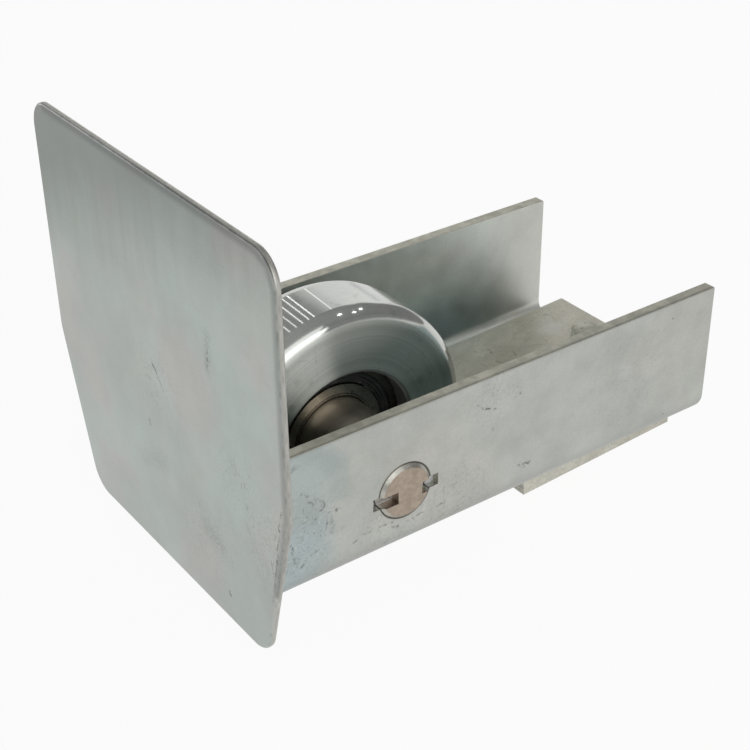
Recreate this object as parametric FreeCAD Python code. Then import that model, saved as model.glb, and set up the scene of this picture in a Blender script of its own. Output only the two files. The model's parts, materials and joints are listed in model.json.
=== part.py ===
import FreeCAD, Part
import math
import os

Vector = FreeCAD.Vector

# End roller of a cantilever sliding gate, in millimetres.
# +X runs from the end plate along the channel, +Y across it, +Z up.
# The origin is on the back of the end plate, on the channel's middle plane, level with its underside.

# End plate: thin sheet cap over the end of the gate's track
plate_width = 100.0
plate_thickness = 1.5
plate_top = 93.0
plate_shoulder = 35.0
plate_drop = 6.0
plate_foot_width = 79.0
plate_corner_radius = 7.0
plate_shoulder_radius = 8.0

# Channel: thicker sheet folded to a U, welded to the plate
sheet = 3.0
channel_width = 66.5
channel_length = 134.7
flange_height = 37.0
flange_corner_radius = 0.6
bend_inner_radius = 3.0
weld_leg = 3.0
weld_bulge = 0.35
weld_end_gap = 2.0

# Axle: turned, stepped down to pass the flanges, staked outside with a chisel
axle_x = 39.4
axle_z = 16.4
axle_diameter = 20.0
axle_end_diameter = 14.0
axle_end_proud = 0.8
axle_end_chamfer = 0.9
axle_hole_clearance = 0.02
axle_shoulder_clearance = 0.05
stake_width = 3.1
stake_depth = 2.0
stake_drop = 0.7
front_stake_reach = 8.6
front_stake_length = 6.3
rear_stake_reach = 9.4
rear_stake_length = 5.2

# Wheel: turned roller that stands out below the channel through a window in its web
wheel_diameter = 69.0
wheel_width = 19.5
wheel_y = -1.15
wheel_edge_radius = 3.9
bore_shoulder = 2.0
bore_chamfer = 0.6
window_clearance = 3.0
window_corner_radius = 4.0

# Bearing: sealed single-row ball bearing, pressed on the axle and into the wheel
bearing_diameter = 37.0
bearing_width = 9.0
press_clearance = 0.01
ring_corner_radius = 0.5
ball_diameter = 4.762
ball_count = 12
ball_clearance = 0.12
raceway_lip = 1.0
seal_land = 2.1
seal_thickness = 0.8
seal_inset = 0.15
seal_lip_gap = 0.3
seal_groove_depth = 0.25
seal_groove_margin = 0.9
cage_strip = 0.5
cage_depth = 1.5
cage_ball_clearance = 0.2
rivet_diameter = 0.7
rivet_proud = 0.15

# Clamp: two flat bars on one bolt, left slack, so that they tip with the front end down
bar_length = 50.0
bar_thickness = 6.0
inner_bar_width = 40.0
lower_bar_width = 50.0
bar_edge_chamfer = 0.15
inner_bar_rear_reach = 9.3
lower_bar_rear_reach = 6.9
clamp_slack = 2.23
clamp_contact_gap = 0.02
bolt_setback = 9.8
bolt_diameter = 8.0
bolt_length = 20.5
bolt_tip_chamfer = 0.9
bolt_head_flats = 13.0
bolt_head_height = 5.3
bolt_head_chamfer_inset = 0.3
bolt_head_chamfer_angle = 30.0
thread_clearance = 0.02
bar_hole_clearance = 0.5
web_hole_clearance = 1.4

# Places and radii that follow from the sizes above
half_width = channel_width / 2
inner_half_width = half_width - sheet
bolt_x = channel_length - bolt_setback
axle_centre = Vector(axle_x, 0, axle_z)
across = Vector(0, 1, 0)
along = Vector(1, 0, 0)
up = Vector(0, 0, 1)
axle_radius = axle_diameter / 2
axle_end_radius = axle_end_diameter / 2
wheel_radius = wheel_diameter / 2
bearing_radius = bearing_diameter / 2
pitch_radius = (axle_radius + bearing_radius) / 2
ball_radius = ball_diameter / 2
inner_shoulder_radius = pitch_radius - raceway_lip
outer_shoulder_radius = pitch_radius + raceway_lip
seal_seat_radius = bearing_radius - seal_land


def box(x_range, y_range, z_range):
    """Plain block between two corners."""
    low, high = (Vector(*corner) for corner in zip(x_range, y_range, z_range))
    size = high - low
    return Part.makeBox(size.x, size.y, size.z, low)


def rounded_face(points, radii):
    """Flat face on a closed outline of corner points, each corner rounded by its radius (0 is sharp)."""
    starts, middles, ends = [], [], []
    for index, (point, radius) in enumerate(zip(points, radii)):
        to_last = (points[index - 1] - point).normalize()
        to_next = (points[(index + 1) % len(points)] - point).normalize()
        half_angle = to_last.getAngle(to_next) / 2
        set_back = radius / math.tan(half_angle)
        inward = (to_last + to_next).normalize()
        starts.append(point + to_last * set_back)
        middles.append(point + inward * (radius / math.sin(half_angle) - radius))
        ends.append(point + to_next * set_back)
    edges = []
    for index, radius in enumerate(radii):
        if radius > 0:
            edges.append(Part.Arc(starts[index], middles[index], ends[index]).toShape())
        edges.append(Part.makeLine(ends[index], starts[(index + 1) % len(points)]))
    return Part.Face(Part.Wire(edges))


def turned(profile, radii, centre_y=0.0):
    """Solid of revolution about the axle line from (radius, y) corners, each rounded by its radius."""
    points = [axle_centre + Vector(radius, centre_y + y, 0) for radius, y in profile]
    return rounded_face(points, radii).revolve(axle_centre, across, 360)


def cylinder_on_axle(radius, low_y, high_y):
    """Plain cylinder on the axle line between two places across the channel."""
    return Part.makeCylinder(radius, high_y - low_y, axle_centre + across * low_y, across)


def on_pitch_circle(step):
    """Centre of a place on the ball circle, counted in ball spacings."""
    angle = 2 * math.pi * step / ball_count
    offset = Vector(math.cos(angle), 0, math.sin(angle)) * pitch_radius
    return axle_centre + across * wheel_y + offset


def end_plate():
    """Sheet with straight upper sides that taper in below the shoulders."""
    half_plate = plate_width / 2
    half_foot = plate_foot_width / 2
    outline = [(half_plate, plate_top), (half_plate, plate_shoulder), (half_foot, -plate_drop),
               (-half_foot, -plate_drop), (-half_plate, plate_shoulder), (-half_plate, plate_top)]
    corner, shoulder = plate_corner_radius, plate_shoulder_radius
    radii = [corner, shoulder, corner, corner, shoulder, corner]
    face = rounded_face([Vector(0, y, z) for y, z in outline], radii)
    return face.extrude(along * -plate_thickness)


def stake_marks():
    """Chisel cuts across the joint of axle and flange, one each side of the axle, on both flanges."""
    z_range = (axle_z - stake_drop - stake_width / 2, axle_z - stake_drop + stake_width / 2)
    floor = half_width - stake_depth
    outside = half_width + axle_end_proud + stake_depth
    marks = []
    for y_range in ((-outside, -floor), (floor, outside)):
        front = axle_x - front_stake_reach
        rear = axle_x + rear_stake_reach
        marks.append(box((front, front + front_stake_length), y_range, z_range))
        marks.append(box((rear - rear_stake_length, rear), y_range, z_range))
    return marks


def wheel_window():
    """Rounded opening in the web, open at the plate, that the wheel hangs through."""
    chord = math.sqrt(wheel_radius ** 2 - (axle_z - sheet) ** 2)
    rear = axle_x + chord + window_clearance
    half_window = wheel_width / 2 + abs(wheel_y) + window_clearance
    corners = [(0, -half_window), (rear, -half_window), (rear, half_window), (0, half_window)]
    radii = [0, window_corner_radius, window_corner_radius, 0]
    return rounded_face([Vector(x, y, 0) for x, y in corners], radii).extrude(up * sheet)


def channel_bracket():
    """Sheet folded to a U, with the wheel's window, the axle holes and the bolt hole."""
    inner, outer = bend_inner_radius, bend_inner_radius + sheet
    section = [(-half_width, flange_height), (-half_width, 0), (half_width, 0), (half_width, flange_height),
               (inner_half_width, flange_height), (inner_half_width, sheet),
               (-inner_half_width, sheet), (-inner_half_width, flange_height)]
    radii = [0, outer, outer, 0, 0, inner, inner, 0]
    folded = rounded_face([Vector(0, y, z) for y, z in section], radii).extrude(along * channel_length)
    rear_top = Vector(channel_length, 0, flange_height)
    rear_corners = [edge for edge in folded.Edges if edge.CenterOfMass.isOnLineSegment(
        rear_top - across * half_width, rear_top + across * half_width)]
    folded = folded.makeFillet(flange_corner_radius, rear_corners)
    axle_holes = cylinder_on_axle(axle_end_radius + axle_hole_clearance, -channel_width, channel_width)
    bolt_hole = Part.makeCylinder(bolt_diameter / 2 + web_hole_clearance, sheet, Vector(bolt_x, 0, 0), up)
    return folded.cut([wheel_window(), axle_holes, bolt_hole] + stake_marks())


def weld_bead(side):
    """Fillet weld between the plate's back and one flange's outer face."""
    flange_face = side * half_width
    root = Vector(0, flange_face, bend_inner_radius + sheet)
    on_flange = root + along * weld_leg
    on_plate = root + across * side * weld_leg
    crown = (on_flange + on_plate) / 2 + Vector(1, side, 0).normalize() * weld_bulge
    edges = [Part.makeLine(root, on_flange), Part.Arc(on_flange, crown, on_plate).toShape(),
             Part.makeLine(on_plate, root)]
    length = flange_height - weld_end_gap - root.z
    return Part.Face(Part.Wire(edges)).extrude(up * length)


def axle():
    """Turned pin with a thick middle between the flanges and chamfered, staked ends."""
    middle = inner_half_width - axle_shoulder_clearance
    end = half_width + axle_end_proud
    rim = axle_end_radius - axle_end_chamfer
    half_profile = [(axle_radius, middle), (axle_end_radius, middle),
                    (axle_end_radius, end - axle_end_chamfer), (rim, end), (0, end)]
    profile = [(radius, -y) for radius, y in reversed(half_profile)] + half_profile
    return turned(profile, [0] * len(profile)).cut(stake_marks())


def wheel():
    """Turned roller with rounded edges, bored from the near side to a shoulder behind the bearing."""
    half = wheel_width / 2
    seat = bearing_radius + press_clearance
    shoulder = seat - bore_shoulder
    stop = bearing_width / 2
    edge = wheel_edge_radius
    profile = [(seat + bore_chamfer, -half), (wheel_radius, -half), (wheel_radius, half),
               (shoulder + bore_chamfer, half), (shoulder, half - bore_chamfer), (shoulder, stop),
               (seat, stop), (seat, -half + bore_chamfer)]
    return turned(profile, [0, edge, edge, 0, 0, 0, 0, 0], wheel_y)


def raceway():
    """Ball groove shared by both rings."""
    return Part.makeTorus(pitch_radius, ball_radius + ball_clearance, axle_centre + across * wheel_y, across)


def bearing_outer_ring():
    """Outer ring, recessed at both ends for the seals."""
    half = bearing_width / 2
    seat = half - seal_inset - seal_thickness
    corner = ring_corner_radius
    profile = [(seal_seat_radius, -half), (bearing_radius, -half), (bearing_radius, half),
               (seal_seat_radius, half), (seal_seat_radius, seat), (outer_shoulder_radius, seat),
               (outer_shoulder_radius, -seat), (seal_seat_radius, -seat)]
    return turned(profile, [0, corner, corner, 0, 0, 0, 0, 0], wheel_y).cut(raceway())


def bearing_inner_ring():
    """Inner ring, pressed on the axle."""
    half = bearing_width / 2
    bore = axle_radius + press_clearance
    profile = [(bore, -half), (inner_shoulder_radius, -half), (inner_shoulder_radius, half), (bore, half)]
    corner = ring_corner_radius
    return turned(profile, [corner, 0, 0, corner], wheel_y).cut(raceway())


def bearing_seal(side):
    """Rubber ring held in the outer ring's recess, with a shallow groove, clear of the inner ring."""
    outside = side * (bearing_width / 2 - seal_inset)
    groove = outside - side * seal_groove_depth
    inside = outside - side * seal_thickness
    lip = inner_shoulder_radius + seal_lip_gap
    rim = seal_seat_radius - press_clearance
    profile = [(lip, outside), (lip + seal_groove_margin, outside), (lip + seal_groove_margin, groove),
               (rim - seal_groove_margin, groove), (rim - seal_groove_margin, outside), (rim, outside),
               (rim, inside), (lip, inside)]
    return turned(profile, [0] * len(profile), wheel_y)


def bearing_balls():
    """One row of balls on the pitch circle."""
    return Part.makeCompound([Part.makeSphere(ball_radius, on_pitch_circle(step)) for step in range(ball_count)])


def cage_half(side):
    """Pressed ribbon with a round pocket over each ball, flat between the balls."""
    pocket = ball_radius + cage_ball_clearance
    inner = pitch_radius - cage_depth / 2
    outer = pitch_radius + cage_depth / 2
    flat_y = sorted((wheel_y, wheel_y + side * cage_strip))
    band_y = sorted((wheel_y, wheel_y + side * (pocket + cage_strip)))
    band = cylinder_on_axle(outer, *band_y).cut(cylinder_on_axle(inner, *band_y))
    flat = cylinder_on_axle(outer, *flat_y).cut(cylinder_on_axle(inner, *flat_y))
    centres = [on_pitch_circle(step) for step in range(ball_count)]
    domes = [Part.makeSphere(pocket + cage_strip, centre).common(band) for centre in centres]
    hollows = [Part.makeSphere(pocket, centre) for centre in centres]
    return flat.fuse(domes).cut(hollows + rivets())


def rivets():
    """Rivet in each flat of the cage, half way between two balls."""
    length = 2 * (cage_strip + rivet_proud)
    pins = []
    for step in range(ball_count):
        low = on_pitch_circle(step + 0.5) - across * (length / 2)
        pins.append(Part.makeCylinder(rivet_diameter / 2, length, low, across))
    return pins


# The clamp is laid out level about the bolt's axis, half way between the bars, then tipped and set in place.
# It tips until the inner bar's front edge meets the web from above and the lower bar's rear edge from below.
clamp_gap = sheet + clamp_slack
web_room = sheet + 2 * clamp_contact_gap
inner_bar_front_reach = bar_length - inner_bar_rear_reach
contact_span = inner_bar_front_reach + lower_bar_rear_reach
clamp_tilt = math.atan2(clamp_gap, contact_span) - math.asin(web_room / math.hypot(contact_span, clamp_gap))
clamp_lift = inner_bar_front_reach * math.sin(clamp_tilt) - clamp_gap / 2 * math.cos(clamp_tilt)
clamp_centre_z = sheet + clamp_contact_gap + clamp_lift
lower_bar_underside = -clamp_gap / 2 - bar_thickness


def seat_clamp(shape):
    """Tip a level clamp piece about the bolt's crossing of the gap and move it to the bolt hole."""
    shape.rotate(Vector(0, 0, 0), across, -math.degrees(clamp_tilt))
    shape.translate(Vector(bolt_x, 0, clamp_centre_z))
    return shape


def clamp_bar(width, rear_reach, bottom, hole_radius):
    """Sawn flat bar with broken edges and one hole near its rear end."""
    bar = box((rear_reach - bar_length, rear_reach), (-width / 2, width / 2), (bottom, bottom + bar_thickness))
    bar = bar.makeChamfer(bar_edge_chamfer, bar.Edges)
    hole = Part.makeCylinder(hole_radius, bar_thickness, Vector(0, 0, bottom), up)
    return seat_clamp(bar.cut(hole))


def clamp_bolt():
    """Hexagon bolt from below, screwed through the inner bar."""
    shank = Part.makeCylinder(bolt_diameter / 2, bolt_length, Vector(0, 0, lower_bar_underside), up)
    tip = [edge for edge in shank.Edges if edge.BoundBox.ZMin > lower_bar_underside + bolt_length / 2
           and edge.Closed]
    shank = shank.makeChamfer(bolt_tip_chamfer, tip)
    corner_radius = bolt_head_flats / 2 / math.cos(math.pi / 6)
    head_bottom = lower_bar_underside - bolt_head_height
    corners = []
    for step in range(6):
        angle = step * math.pi / 3
        corners.append(Vector(corner_radius * math.cos(angle), corner_radius * math.sin(angle), head_bottom))
    head = rounded_face(corners, [0] * len(corners)).extrude(up * bolt_head_height)
    crown_radius = bolt_head_flats / 2 - bolt_head_chamfer_inset
    spread = bolt_head_height / math.tan(math.radians(bolt_head_chamfer_angle))
    crown = Part.makeCone(crown_radius, crown_radius + spread, bolt_head_height, Vector(0, 0, head_bottom), up)
    return seat_clamp(shank.fuse(head.common(crown)).removeSplitter())


pieces = {
    "end_plate": end_plate(),
    "channel_bracket": channel_bracket(),
    "weld_near": weld_bead(-1),
    "weld_far": weld_bead(1),
    "axle": axle(),
    "wheel": wheel(),
    "bearing_outer_ring": bearing_outer_ring(),
    "bearing_inner_ring": bearing_inner_ring(),
    "bearing_balls": bearing_balls(),
    "cage_half_near": cage_half(-1),
    "cage_half_far": cage_half(1),
    "cage_rivets": Part.makeCompound(rivets()),
    "bearing_seal_near": bearing_seal(-1),
    "bearing_seal_far": bearing_seal(1),
    "inner_clamp_bar": clamp_bar(inner_bar_width, inner_bar_rear_reach, clamp_gap / 2,
                                 bolt_diameter / 2 + thread_clearance),
    "lower_clamp_bar": clamp_bar(lower_bar_width, lower_bar_rear_reach, lower_bar_underside,
                                 bolt_diameter / 2 + bar_hole_clearance),
    "clamp_bolt": clamp_bolt(),
}

os.makedirs("parts", exist_ok=True)
for name, shape in pieces.items():
    shape.exportStep("parts/" + name + ".step")
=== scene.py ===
import json
import math

import bmesh
import bpy
from mathutils import Matrix, Vector


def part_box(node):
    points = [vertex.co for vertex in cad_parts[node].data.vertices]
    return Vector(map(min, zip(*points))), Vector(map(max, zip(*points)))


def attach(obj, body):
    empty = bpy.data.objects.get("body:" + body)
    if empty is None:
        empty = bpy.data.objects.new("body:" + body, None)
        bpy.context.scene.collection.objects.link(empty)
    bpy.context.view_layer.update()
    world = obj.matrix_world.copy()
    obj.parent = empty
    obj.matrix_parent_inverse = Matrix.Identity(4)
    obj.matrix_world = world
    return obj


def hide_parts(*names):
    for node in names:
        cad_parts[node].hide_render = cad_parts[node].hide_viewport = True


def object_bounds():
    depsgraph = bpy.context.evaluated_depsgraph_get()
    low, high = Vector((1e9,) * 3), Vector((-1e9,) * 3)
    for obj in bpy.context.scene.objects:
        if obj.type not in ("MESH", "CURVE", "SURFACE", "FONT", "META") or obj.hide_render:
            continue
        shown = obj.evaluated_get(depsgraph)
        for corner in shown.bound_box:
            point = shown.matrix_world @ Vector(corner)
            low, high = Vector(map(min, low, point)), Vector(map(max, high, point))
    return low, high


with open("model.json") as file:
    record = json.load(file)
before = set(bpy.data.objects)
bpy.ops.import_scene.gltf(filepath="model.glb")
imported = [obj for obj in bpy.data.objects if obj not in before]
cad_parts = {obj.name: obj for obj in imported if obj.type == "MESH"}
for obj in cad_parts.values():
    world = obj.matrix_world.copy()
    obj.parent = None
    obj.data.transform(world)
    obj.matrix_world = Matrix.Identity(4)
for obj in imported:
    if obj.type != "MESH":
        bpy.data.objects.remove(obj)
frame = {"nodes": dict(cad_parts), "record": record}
cad_low, cad_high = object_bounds()


# End plate: thin steel sheet that caps the end of the gate's track, blanked and tumbled so that its
# edges are round, then zinc plated. It is darker towards its top; handling has left scuffs, specks of
# dirt and bright worn edges. Painted shade lines its rim and a painted highlight its top edge.

def new_piece(name, shell):
    """Piece of its own from a finished shell of faces."""
    mesh = bpy.data.meshes.new(name)
    shell.to_mesh(mesh)
    shell.free()
    piece = bpy.data.objects.new(name, mesh)
    bpy.context.scene.collection.objects.link(piece)
    return piece


def rounded_copy(node, name, edge_radius):
    """Copy of a CAD node with its sharp edges rounded; its faces carry "edge" on the rounding."""
    flat_angle = math.radians(0.5)
    sharp_angle = math.radians(40)
    shell = bmesh.new()
    shell.from_mesh(frame["nodes"][node].data)
    on_edge = shell.faces.layers.float.new("edge")
    bmesh.ops.remove_doubles(shell, verts=shell.verts, dist=1e-6)
    bmesh.ops.dissolve_limit(shell, angle_limit=flat_angle, verts=shell.verts, edges=shell.edges)
    sharp = [edge for edge in shell.edges if edge.calc_face_angle(0) > sharp_angle]
    rounding = bmesh.ops.bevel(shell, geom=sharp, offset=edge_radius, segments=3, profile=0.5,
                               affect="EDGES", clamp_overlap=True)["faces"]
    for face in shell.faces:
        face.smooth = True
    for face in rounding:
        face[on_edge] = 1.0
    piece = new_piece(name, shell)
    piece.modifiers.new("even_shading", "WEIGHTED_NORMAL").keep_sharp = True
    return piece


def mark_faces(piece, name, value):
    """Face attribute with the number that value(face) gives."""
    marks = piece.data.attributes.new(name, "FLOAT", "FACE")
    marks.data.foreach_set("value", [float(value(face)) for face in piece.data.polygons])


def dress(piece, finish):
    """A piece, or a CAD node that keeps its shape, gets a finish."""
    piece.data.materials.clear()
    piece.data.materials.append(finish.material)


def stand_for(piece, node, body):
    """The piece takes a CAD node's place on its body, and the node is hidden."""
    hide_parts(node)
    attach(piece, body)


class Recipe:
    """Node tree of a finish or a shape, written down as sums."""

    def __init__(self, tree):
        self.tree = tree

    def add(self, kind, values=None, **settings):
        """New node: settings are its options, values its inputs, linked where they are sockets."""
        node = self.tree.nodes.new(kind)
        for option, value in settings.items():
            setattr(node, option, value)
        for key, value in (values or {}).items():
            self.feed(node.inputs[key], value)
        return node

    def feed(self, socket, value):
        """Give a socket a link or a fixed value."""
        if isinstance(value, bpy.types.NodeSocket):
            self.tree.links.new(value, socket)
        else:
            socket.default_value = value

    def maths(self, operation, *values):
        """Number worked out from one, two or three others."""
        return self.add("ShaderNodeMath", dict(enumerate(values)), operation=operation).outputs[0]

    def in_turn(self, operation, values):
        """Number worked out from any count of others, one after the other."""
        result = values[0]
        for value in values[1:]:
            result = self.maths(operation, result, value)
        return result

    def times(self, *values):
        """Product of numbers."""
        return self.in_turn("MULTIPLY", values)

    def plus(self, *values):
        """Sum of numbers."""
        return self.in_turn("ADD", values)

    def most(self, *values):
        """Largest of numbers."""
        return self.in_turn("MAXIMUM", values)

    def minus(self, first, second):
        """Difference of two numbers."""
        return self.maths("SUBTRACT", first, second)

    def vector_maths(self, operation, *values):
        """Vector, or for a length or product a number, worked out from one or two vectors."""
        node = self.add("ShaderNodeVectorMath", dict(enumerate(values)), operation=operation)
        is_number = operation in ("DOT_PRODUCT", "DISTANCE", "LENGTH")
        return node.outputs["Value" if is_number else "Vector"]

    def axes(self, vector):
        """X, Y and Z of a vector."""
        return self.add("ShaderNodeSeparateXYZ", {0: vector}).outputs

    def eased(self, value, low, high, new_low=0.0, new_high=1.0):
        """Value eased from the range low..high onto new_low..new_high, and held beyond it."""
        limits = {"Value": value, "From Min": low, "From Max": high, "To Min": new_low, "To Max": new_high}
        return self.add("ShaderNodeMapRange", limits, interpolation_type="SMOOTHSTEP").outputs["Result"]


class Finish(Recipe):
    """Material with its shader, and the place on the object that its patterns follow."""

    def __init__(self, name, metallic=1.0):
        self.material = bpy.data.materials.new(name)
        self.material.use_nodes = True
        super().__init__(self.material.node_tree)
        self.shader = self.tree.nodes["Principled BSDF"]
        self.shader.inputs["Metallic"].default_value = metallic
        self.place = self.add("ShaderNodeTexCoord").outputs["Object"]

    def coat(self, colour, roughness):
        """Give the shader its colour and roughness."""
        self.feed(self.shader.inputs["Base Color"], colour)
        self.feed(self.shader.inputs["Roughness"], roughness)

    def emboss(self, height, strength, depth):
        """Give the shader a fine relief of a depth in metres."""
        relief = self.add("ShaderNodeBump", {"Height": height, "Strength": strength, "Distance": depth})
        self.feed(self.shader.inputs["Normal"], relief.outputs["Normal"])

    def scaled(self, vector, factor):
        """Vector or colour times a number."""
        values = {0: vector, "Scale": factor}
        return self.add("ShaderNodeVectorMath", values, operation="SCALE").outputs["Vector"]

    def tint(self, factor, first, second):
        """Colour mixed from two."""
        return self.add("ShaderNodeMix", {0: factor, 6: first, 7: second}, data_type="RGBA").outputs[2]

    def parts(self, colour):
        """Red, green and blue of a colour."""
        return self.add("ShaderNodeSeparateColor", {"Color": colour}).outputs

    def mark(self, name):
        """Number that the piece's faces carry under a name."""
        return self.add("ShaderNodeAttribute", attribute_name=name).outputs["Fac"]

    def noise(self, cells, detail=3.0, stretch=None, output="Fac", place=None):
        """Cloudy noise about 0.5, in cells per metre, drawn out along an axis whose stretch is small."""
        if place is None:
            place = self.place
        if stretch:
            place = self.vector_maths("MULTIPLY", place, stretch)
        values = {"Vector": place, "Scale": cells, "Detail": detail}
        return self.add("ShaderNodeTexNoise", values).outputs[output]

    def away_from(self, point):
        """Distance of the place from a point."""
        return self.vector_maths("DISTANCE", self.place, point)

    def along(self, offset, run):
        """0 at the start of a run and 1 at its end, for an offset from that start."""
        return self.vector_maths("DOT_PRODUCT", offset, run / run.length_squared)

    def stroke(self, place, start, end, width):
        """1 on a straight stroke between two points, fading out towards its sides."""
        run = Vector(end) - Vector(start)
        offset = self.vector_maths("SUBTRACT", place, start)
        share = self.add("ShaderNodeClamp", {"Value": self.along(offset, run)}).outputs[0]
        from_line = self.vector_maths("DISTANCE", offset, self.scaled(run, share))
        return self.eased(from_line, width / 2, 0.0)

    def scuffs(self, strokes):
        """Dark marks of handling: (start, end, width, depth) strokes with ragged, broken outlines."""
        sway = 0.0016
        ragged = self.vector_maths("SUBTRACT", self.noise(620, 2, output="Color"), (0.5, 0.5, 0.5))
        place = self.vector_maths("ADD", self.place, self.scaled(ragged, sway))
        marks = [self.times(self.stroke(place, start, end, width), depth)
                 for start, end, width, depth in strokes]
        broken = self.eased(self.noise(1300, 2, place=place), 0.36, 0.6)
        return self.times(self.most(*marks), broken)

    def scratches(self, cells, zones):
        """Change of tone by fine scratches, dark and bright, within (centre, radius, strength) zones."""
        sway = 0.005
        slants = ((0.0, 0.2, 0.4), (0.35, 1.25, 0.0))
        bent = self.vector_maths("ADD", self.place, self.scaled(self.noise(130, 1, output="Color"), sway))
        dark = []
        bright = []
        for slant in slants:
            slanted = self.add("ShaderNodeMapping", {"Vector": bent, "Rotation": slant}).outputs[0]
            hair = self.noise(cells, 1, stretch=(0.05, 1, 1), place=slanted)
            dark.append(self.eased(hair, 0.61, 0.77, 0.0, -1.0))
            bright.append(self.eased(hair, 0.36, 0.24, 0.0, 0.4))
        spots = [self.eased(self.away_from(centre), radius, radius * 0.2, 0.0, strength)
                 for centre, radius, strength in zones]
        return self.times(self.plus(*dark, *bright), self.most(*spots))

    def specks(self, cells, share, radius):
        """1 on small round specks, in the given share of the cells."""
        dots = self.add("ShaderNodeTexVoronoi", {"Vector": self.place, "Scale": cells}).outputs
        spot = self.eased(dots["Distance"], radius, radius * 0.4)
        chosen = self.maths("GREATER_THAN", self.parts(dots["Color"])[0], 1 - share)
        return self.times(spot, chosen)


def zinc_sheet(name, tones, strokes, zones, darkening_run, painted_shade_lines, stains,
               lit_top_edge=None, inside=None, grime=None):
    """Zinc-plated sheet: cloudy greenish grey with faint rainbow patches, specks, scuffs and worn edges.

    darkening_run is a start, an end and how much darker the colour gets between them; painted_shade_lines
    are (points, width, depth) lines of painted shade along edges and bends; stains are (centre, radius,
    colour) spots; lit_top_edge is the range of heights over which an upper edge gets a painted highlight;
    inside and grime give the tint, painted reflection and highlight, and dirt that only one sheet has.
    """
    grey, rose, cyan, cut_tone = tones
    staked_tone = (0.78, 0.78, 0.8, 1)
    worn_tone = (0.56, 0.56, 0.53, 1)
    top_highlight_tone = (0.85, 0.85, 0.82, 1)
    dirt_tone = (0.1, 0.095, 0.08, 1)
    stain_sway = 0.012
    finish = Finish(name)
    drift = finish.parts(finish.noise(34, 4, output="Color"))
    clouds = finish.noise(130, 4)
    fine = finish.noise(2600, 2)
    colour = finish.tint(finish.eased(drift[0], 0.42, 0.6), grey, rose)
    colour = finish.tint(finish.eased(drift[1], 0.45, 0.62), colour, cyan)
    for centre, radius, stain in stains:
        away = finish.plus(finish.away_from(centre), finish.times(clouds, stain_sway))
        reach = finish.eased(away, radius + stain_sway / 2, radius * 0.4 + stain_sway / 2)
        colour = finish.tint(reach, colour, stain)
    within = 0.0
    fold_highlight = 0.0
    if inside:
        colour, within, fold_highlight = inside(finish, colour)

    tone = finish.plus(finish.eased(clouds, 0.3, 0.7, 0.93, 1.06), finish.scratches(2000, zones),
                       finish.eased(fine, 0.25, 0.75, -0.04, 0.04),
                       finish.eased(drift[2], 0.35, 0.65, -0.04, 0.04))
    start, end, amount = darkening_run
    drips = finish.eased(finish.noise(330, 2, stretch=(1, 1, 0.08)), 0.3, 0.7, -0.045, 0.045)
    offset = finish.vector_maths("SUBTRACT", finish.place, start)
    towards_end = finish.along(offset, Vector(end) - Vector(start))
    darkening = finish.eased(finish.plus(towards_end, drips), 0.0, 1.0, 1.0, 1.0 - amount)
    # Tone, times the darkening towards one end and the painted fold highlight.
    colour = finish.scaled(colour, finish.times(tone, darkening, finish.plus(fold_highlight, 1.0)))

    cut, edge, staked = (finish.mark(mark) for mark in ("cut", "edge", "staked"))
    rub = finish.noise(420, 3)
    colour = finish.tint(cut, colour, finish.scaled(cut_tone, finish.eased(rub, 0.3, 0.7, 0.84, 1.12)))
    colour = finish.tint(staked, colour, staked_tone)
    colour = finish.tint(finish.times(finish.eased(rub, 0.52, 0.4), edge, 0.35), colour, worn_tone)
    # Painted highlight on the rounding of the top edge, stronger towards +Y.
    if lit_top_edge:
        spot = finish.axes(finish.place)
        top_highlight = finish.times(edge, finish.eased(spot["Z"], *lit_top_edge),
                               finish.eased(spot["Y"], -0.02, 0.03, 0.2, 0.65))
        colour = finish.tint(top_highlight, colour, top_highlight_tone)
    # Painted shade along rounded edges and bends, left off the channel's inside.
    lines = [finish.times(finish.stroke(finish.place, first, second, width), depth)
             for points, width, depth in painted_shade_lines for first, second in zip(points, points[1:])]
    darkened = finish.times(finish.most(*lines), finish.minus(1.0, within))
    colour = finish.scaled(colour, finish.minus(1.0, darkened))

    dirt = finish.most(finish.scuffs(strokes), finish.times(finish.specks(190, 0.1, 0.075), 0.5),
                       finish.times(finish.eased(rub, 0.5, 0.7), edge, 0.2))
    if grime:
        dirt = finish.most(dirt, grime(finish))
    rough = finish.plus(finish.eased(clouds, 0.25, 0.75, 0.29, 0.39), finish.times(dirt, 0.2),
                        finish.times(cut, 0.1), finish.times(staked, 0.25), finish.times(within, 0.1))
    finish.coat(finish.tint(dirt, colour, dirt_tone), rough)
    finish.emboss(clouds, 0.3, 0.00008)
    return finish


def strokes_on(face, rows):
    """Strokes on a face from rows of start, end and width in millimetres, and a depth."""
    return [(face(*row[0:2]), face(*row[2:4]), row[4] / 1000, row[5]) for row in rows]


def spots_on(face, rows):
    """Round spots on a face from rows of centre and radius in millimetres, and a strength or colour."""
    return [(face(*row[0:2]), row[2] / 1000, row[3]) for row in rows]


plate_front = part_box("end_plate")[0][0]
plate_edge_radius = 0.0005


def on_plate(y, z):
    """Point on the plate's front, from millimetres."""
    return (plate_front, y / 1000, z / 1000)


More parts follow.
